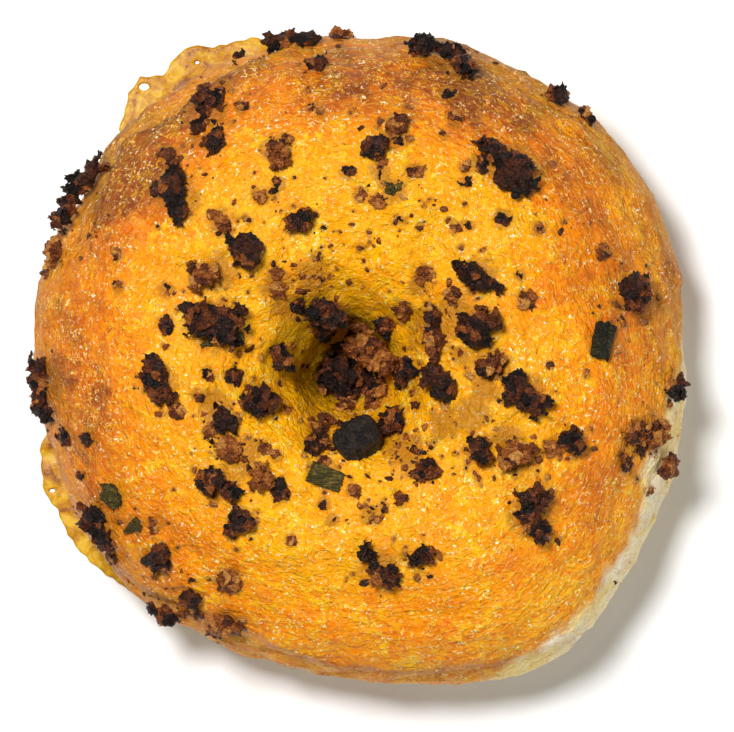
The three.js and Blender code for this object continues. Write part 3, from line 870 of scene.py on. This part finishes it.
def lie_of(node):
    """A leaf's CAD solid: its middle, the ways along and across it, its length, width and top."""
    form = merged_copy(node, "leaf_form")
    places = vertex_places(form)
    bpy.data.objects.remove(form)
    low, high = places.min(axis=0), places.max(axis=0)
    middle = Vector((low + high) / 2)
    spread = places[:, :2] - np.array(middle)[:2]
    along = np.linalg.svd(spread - spread.mean(axis=0), full_matrices=False)[2][0]
    across = np.array([-along[1], along[0]])
    length, width = (np.ptp(spread @ way) for way in (along, across))
    return middle, Vector((*along, 0)), Vector((*across, 0)), length, width, high[2]


def leaf(node, dice, under):
    """A flat dried leaf with ragged ends, on the crust at its CAD solid. Returns it and its heading."""
    middle, along, across, length, width, _ = lie_of(node)
    steps = [along * FOOT_REACH * length, along * -FOOT_REACH * length]
    steps += [across * FOOT_REACH * width, across * -FOOT_REACH * width]
    feet = [under(middle.x + step.x, middle.y + step.y)[0] for step in steps]
    facing = (feet[0] - feet[1]).cross(feet[2] - feet[3]).normalized()
    if facing.z < 0:
        facing = -facing
    base = sum(feet, Vector()) / len(feet) + facing * LEAF_LIFT
    heading = math.atan2(along.y, along.x)
    along = (along - facing * along.dot(facing)).normalized()
    across = facing.cross(along)
    deselect()
    bpy.ops.mesh.primitive_cube_add(size=1)
    piece = bpy.context.object
    piece.name = node + "_baked"
    bpy.ops.object.mode_set(mode="EDIT")
    bpy.ops.mesh.subdivide(number_cuts=LEAF_CUTS)
    bpy.ops.object.mode_set(mode="OBJECT")
    shift = Vector((dice.uniform(0, 50), 0, 0))
    for vertex in piece.data.vertices:
        p = vertex.co
        ragged = 0.10 * noise.noise(Vector((3.0 * math.copysign(1, p.x), p.y * 7.0, 0)) + shift)
        ripple = 0.05 * noise.noise(Vector((p.x * 5.0, math.copysign(1, p.y), 0)) + shift)
        x = (p.x + ragged * abs(p.x) * 2) * length * LEAF_SHARE
        y = (p.y * (1.0 + 0.10 * p.x) + ripple * abs(p.y) * 2) * width * LEAF_SHARE
        curl = 0.22 * p.y * p.y * width - 0.35 * MM * noise.noise(Vector((p.x * 2.6, p.y * 5.0, 0)) + shift)
        vertex.co = base + along * x + across * y + facing * (p.z * LEAF_THICKNESS - curl + 0.3 * p.x * MM)
    return piece, heading


def leaf_roll(node):
    """A leaf that dried into a wrinkled roll, in the space of its CAD solid. Returns it and its heading."""
    middle, along, across, length, width, top = lie_of(node)
    height = 2 * (top - middle.z)
    deselect()
    bpy.ops.mesh.primitive_ico_sphere_add(subdivisions=6, radius=0.5)
    piece = bpy.context.object
    piece.name = node + "_baked"
    for vertex in piece.data.vertices:
        p = vertex.co * 2
        blunt = max(abs(p.x) ** 3.2 + (p.y * p.y + p.z * p.z) ** 1.6, 1e-9) ** 0.3125
        p /= 2 * blunt
        p.y += 0.22 * p.x * p.x
        folds = 1 - 2 * abs(noise.noise(Vector((p.x * 8.0, p.y * 1.8, p.z * 1.8))))
        creases = 1 - 2 * abs(noise.noise(Vector((p.x * 17.0, p.y * 5.0, p.z * 5.0))))
        swell = 0.88 + 0.13 * folds + 0.08 * creases + 0.12 * noise.noise(p * 3.0)
        section = across * (p.y * width) + Vector((0, 0, p.z * height))
        vertex.co = middle + along * (p.x * length) + section * swell
    return piece, math.atan2(along.y, along.x)


LEAF_TONES = {
    "chive_02": [(0.0, (0.012, 0.008, 0.003)), (1.0, (0.30, 0.21, 0.045)), (0.5, (0.065, 0.048, 0.012))],
    "chive_03": [(0.0, (0.004, 0.004, 0.003)), (1.0, (0.13, 0.10, 0.025)), (0.5, (0.014, 0.013, 0.007))],
    "chive_01": [(0.0, (0.002, 0.002, 0.002)), (1.0, (0.10, 0.060, 0.035)), (0.5, (0.010, 0.007, 0.006))],
}


def bits_pieces(stock, textures, materials, under):
    for index, node in enumerate(BITS):
        dice = random.Random(40 + index)
        kind = node.rsplit("_", 1)[0]
        material = materials[kind]
        if node == "chive_01":
            piece, heading = leaf_roll(node)
            material = chive_material("chive_roll", heading + math.pi / 2, LEAF_TONES[node], 0.30)
        elif kind == "chive":
            piece, heading = leaf(node, dice, under)
            material = chive_material(node.replace("_", "_leaf_"), heading, LEAF_TONES[node])
        else:
            piece = clump(node, stock, textures, dice, kind)
        finished(piece, material, kind, node)


# ---------------------------------------------------------------- scraps and crumbs

def crust_finder(ring):
    """Gives the crust's point and facing under a place in plan."""
    tree = BVHTree.FromObject(ring, bpy.context.evaluated_depsgraph_get())

    def under(x, y):
        point, facing, _, _ = tree.ray_cast(Vector((x, y, 2 * BREAD_HIGH.z)), Vector((0, 0, -1)))
        return point, facing

    return under


SCRAP_REACH = 0.36  # of a scrap's length and width, to the middles of its outermost flakes
WIDEST_SCRAP_FLAKE = 2.6
FLAKES_PER_FALL = 4
GOLDEN_TURN = math.radians(137.5)


def scraps_piece(kind, under, stock, textures, material):
    """All the scraps of one kind as one piece. Returns the spots that they stain."""
    dice = random.Random(900 + len(kind))
    heap = Heap(stock, textures, dice)
    spots = []
    for x, y, length, width, heading in SCRAPS[kind]:
        middle = RING_CENTRE + Vector((x, y, 0)) * MM
        along = Vector((math.cos(math.radians(heading)), math.sin(math.radians(heading)), 0))
        across = Vector((-along.y, along.x, 0))
        spots.append((middle.x, middle.y, 0.5 * length + 0.8))
        for _ in range(3 + round(0.9 * length * width)):
            away = math.sqrt(dice.random()) * SCRAP_REACH
            turn = dice.uniform(0, math.tau)
            offset = along * (length * away * math.cos(turn)) + across * (width * away * math.sin(turn))
            at = middle + offset * MM
            point, facing = under(at.x, at.y)
            if point is None:
                point, facing = Vector((at.x, at.y, THROAT_LEVEL * BREAD_HIGH.z)), UPWARD
            size = dice.uniform(0.75, 1.15) * min(width, 0.6 * length + 0.4)
            lifted = point + facing * (0.28 * size * MM * dice.random())
            heap.add_flake(lifted, facing, min(size, WIDEST_SCRAP_FLAKE), kind, 0.45)
    if kind == "charred_onion":
        for index in range(THROAT_FILL):
            turn = index * GOLDEN_TURN
            away = math.sqrt((index + 0.5) / THROAT_FILL) * THROAT_REACH
            at = RING_CENTRE + THROAT_MIDDLE + Vector((math.cos(turn) * away, math.sin(turn) * away, 0))
            at.z = THROAT_LEVEL * BREAD_HIGH.z + dice.uniform(-2, 2) * MM
            for _ in range(FLAKES_PER_FALL):
                nudge = Vector((dice.uniform(-1, 1), dice.uniform(-1, 1), dice.uniform(-1, 1))) * MM
                heap.add_flake(at + nudge, UPWARD, dice.uniform(2.2, 3.6), kind)
    piece = heap.baked(kind + "_scraps")
    finished(piece, material, kind)
    return spots


STEEPEST_FOR_CRUMBS = 0.2  # least upward share of the crust's facing where a crumb stays


def crumb_pieces(under, materials):
    """Fine crumbs round every clump, and thick in a few patches. Returns the spots that they stain."""
    dice = random.Random(77)
    deselect()
    bpy.ops.mesh.primitive_ico_sphere_add(subdivisions=1, radius=0.5 * MM)
    stock = bpy.context.object
    crumbs = {"charred_onion": [], "browned_onion": []}
    tones = {"charred_onion": [], "browned_onion": []}
    spots = []

    def drop(x, y, size, char_share, stain):
        point, facing = under(x, y)
        if point is None or facing.z < STEEPEST_FOR_CRUMBS:
            return
        if stain:
            spots.append((x, y, 0.7 * size + 0.4))
        kind = "charred_onion" if dice.random() < char_share else "browned_onion"
        turn = facing.to_track_quat("Z", "Y").to_matrix().to_4x4()
        spin = Matrix.Rotation(dice.uniform(0, math.tau), 4, "Z")
        shape = Matrix.Diagonal((size * dice.uniform(1.0, 1.8), size, size * dice.uniform(0.35, 0.6), 1))
        crumb = stamped(stock, "crumb", Matrix.Translation(point) @ turn @ spin @ shape)
        for vertex in crumb.data.vertices:
            jog = Vector((dice.gauss(0, 1), dice.gauss(0, 1), dice.gauss(0, 0.6)))
            vertex.co += (0.15 * size * MM) * jog
        crumbs[kind].append(crumb)
        tones[kind] += [dice.gauss(*TONES[kind])] * len(crumb.data.vertices)

    for node in BITS:
        low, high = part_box(node)
        middle = (Vector(low) + Vector(high)) / 2
        span = Vector((high[0] - low[0], high[1] - low[1])) / 2
        spots.append((middle.x, middle.y, 0.85 * max(span) / MM + 0.8))
        for _ in range(dice.randint(4, 9)):
            bearing = dice.uniform(0, math.tau)
            away = abs(dice.gauss(0, 1.0)) * 1.8 * MM
            x = middle.x + math.cos(bearing) * (span.x + away)
            y = middle.y + math.sin(bearing) * (span.y + away)
            drop(x, y, min(0.35 + dice.expovariate(2.2), 1.4), 0.15, True)
    for patch_x, patch_y, reach, count in CRUMB_PATCHES:
        for _ in range(count):
            x = RING_CENTRE.x + dice.gauss(patch_x, 0.6 * reach) * MM
            y = RING_CENTRE.y + dice.gauss(patch_y, 0.6 * reach) * MM
            drop(x, y, min(0.30 + dice.expovariate(2.6), 1.2), 0.08, dice.random() < 0.6)
    spots += [(RING_CENTRE.x + x * MM, RING_CENTRE.y + y * MM, reach) for x, y, reach in STAINS]
    bpy.data.objects.remove(stock)
    for kind, loose in crumbs.items():
        piece = joined(loose, kind + "_crumbs")
        set_attribute(piece, "tone", tones[kind])
        finished(piece, materials[kind], kind)
    return spots


# ---------------------------------------------------------------- skirts

# Holes that bubbles left in the skirts, in millimetres from the ring's axis: x, y, length, width.
SKIRT_HOLES = [(-37.3, 46.8, 1.9, 1.3), (-28.0, 51.1, 1.0, 0.7), (-53.4, -24.0, 1.2, 0.8)]
SKIRT_VOXEL = 0.22 * MM


def skirt_piece(node, material):
    """Crisp cheese: a thin sheet, thick and thin in places, with the holes of burst bubbles."""
    piece = merged_copy(node, node + "_baked")
    low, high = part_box(node)
    for x, y, length, width in SKIRT_HOLES:
        place = RING_CENTRE + Vector((x, y, 0)) * MM
        if not (low[0] < place.x < high[0] and low[1] < place.y < high[1]):
            continue
        deselect()
        bpy.ops.mesh.primitive_cylinder_add(vertices=24, radius=0.5 * MM, depth=30 * MM, location=place)
        cutter = bpy.context.object
        cutter.scale = (length, width, 1)
        settle(cutter)
        apply_modifier(piece, "BOOLEAN", operation="DIFFERENCE", object=cutter, solver="EXACT")
        bpy.data.objects.remove(cutter)
    apply_modifier(piece, "REMESH", mode="VOXEL", voxel_size=SKIRT_VOXEL)
    apply_modifier(piece, "SMOOTH", factor=0.5, iterations=3)
    swells = crinkle(node + "_swells", "CLOUDS", 4.0 * MM, noise_depth=1)
    settings = {"strength": 0.5 * MM, "mid_level": 0.5, "texture_coords": "LOCAL", "direction": "Z"}
    apply_modifier(piece, "DISPLACE", texture=swells, **settings)
    for vertex in piece.data.vertices:
        vertex.co.z = max(vertex.co.z, 0)
    finished(piece, material, "crisp_cheese", node)


# ---------------------------------------------------------------- stage, light and camera

CAMERA_DISTANCE = 3.0
VIEW_WIDTH = 128.1 * MM  # of the plane at the bread's widest level
WIDEST_LEVEL = 16 * MM
VIEW_MIDDLE = RING_CENTRE + Vector((1.83, -2.18, 16)) * MM  # the bagel lies left of the middle and above it
SENSOR = 36.0
CAMERA_SIGHT = 10  # metres that the camera sees
TABLE_WIDTH = 3.0
LIGHT_AIM = Vector((0, 0, 0.02))
SKY = 0.09


def add_camera():
    lens = bpy.data.cameras.new("top_view")
    lens.sensor_width = SENSOR
    lens.lens = SENSOR * (CAMERA_DISTANCE - WIDEST_LEVEL) / VIEW_WIDTH
    lens.clip_end = CAMERA_SIGHT
    camera = bpy.data.objects.new("top_view", lens)
    camera.location = (VIEW_MIDDLE.x, VIEW_MIDDLE.y, CAMERA_DISTANCE)
    bpy.context.scene.collection.objects.link(camera)
    bpy.context.scene.camera = camera


def add_light(name, place, size, power):
    lamp = bpy.data.lights.new(name, "AREA")
    lamp.shape = "DISK"
    lamp.size = size
    lamp.energy = power
    light = bpy.data.objects.new(name, lamp)
    light.location = place
    light.rotation_euler = (LIGHT_AIM - Vector(place)).to_track_quat("-Z", "Y").to_euler()
    bpy.context.scene.collection.objects.link(light)


def add_stage():
    recipe = Recipe("white_table")
    white = recipe.surface(Base_Color=(0.93, 0.93, 0.93, 1.0), Roughness=0.8)
    deselect()
    bpy.ops.mesh.primitive_plane_add(size=TABLE_WIDTH)
    floor = bpy.context.object
    floor.name = "white_table"
    floor.data.materials.append(white)
    add_light("key_light", (-0.22, 0.24, 1.0), 0.28, 12.4)
    add_light("fill_light", (0.78, -0.64, 0.66), 1.1, 4.6)
    world = bpy.data.worlds.new("studio")
    bpy.context.scene.world = world
    world.use_nodes = True
    sky = world.node_tree.nodes["Background"]
    sky.inputs["Color"].default_value = (1, 1, 1, 1)
    sky.inputs["Strength"].default_value = SKY
    bpy.context.scene.view_settings.view_transform = "Standard"


# ---------------------------------------------------------------- making the bagel

add_camera()
materials = {
    "charred_onion": onion_material("charred_onion", 0.26),
    "browned_onion": onion_material("browned_onion", 0.24),
    "chive": chive_material("chive_scrap", 0.4, LEAF_TONES["chive_02"]),
}
bread = bread_piece()
under = crust_finder(bread)
flakes = flake_stock()
crumple = [
    (crinkle("onion_folds", "CLOUDS", 0.9 * MM, noise_depth=2, noise_type="HARD_NOISE"), 0.44 * MM),
    (crinkle("onion_grain", "CLOUDS", 0.45 * MM, noise_depth=1, noise_type="HARD_NOISE"), 0.20 * MM),
]
bits_pieces(flakes, crumple, materials, under)
spots = crumb_pieces(under, materials)
for kind in SCRAPS:
    spots += scraps_piece(kind, under, flakes, crumple, materials[kind])
for flake in flakes:
    bpy.data.objects.remove(flake)
stain_crust(bread, spots)
finished(bread, cheese_crust_material(), "cheese_crust", BREAD)
crisp = crisp_cheese_material()
for node in SKIRTS:
    skirt_piece(node, crisp)
add_stage()
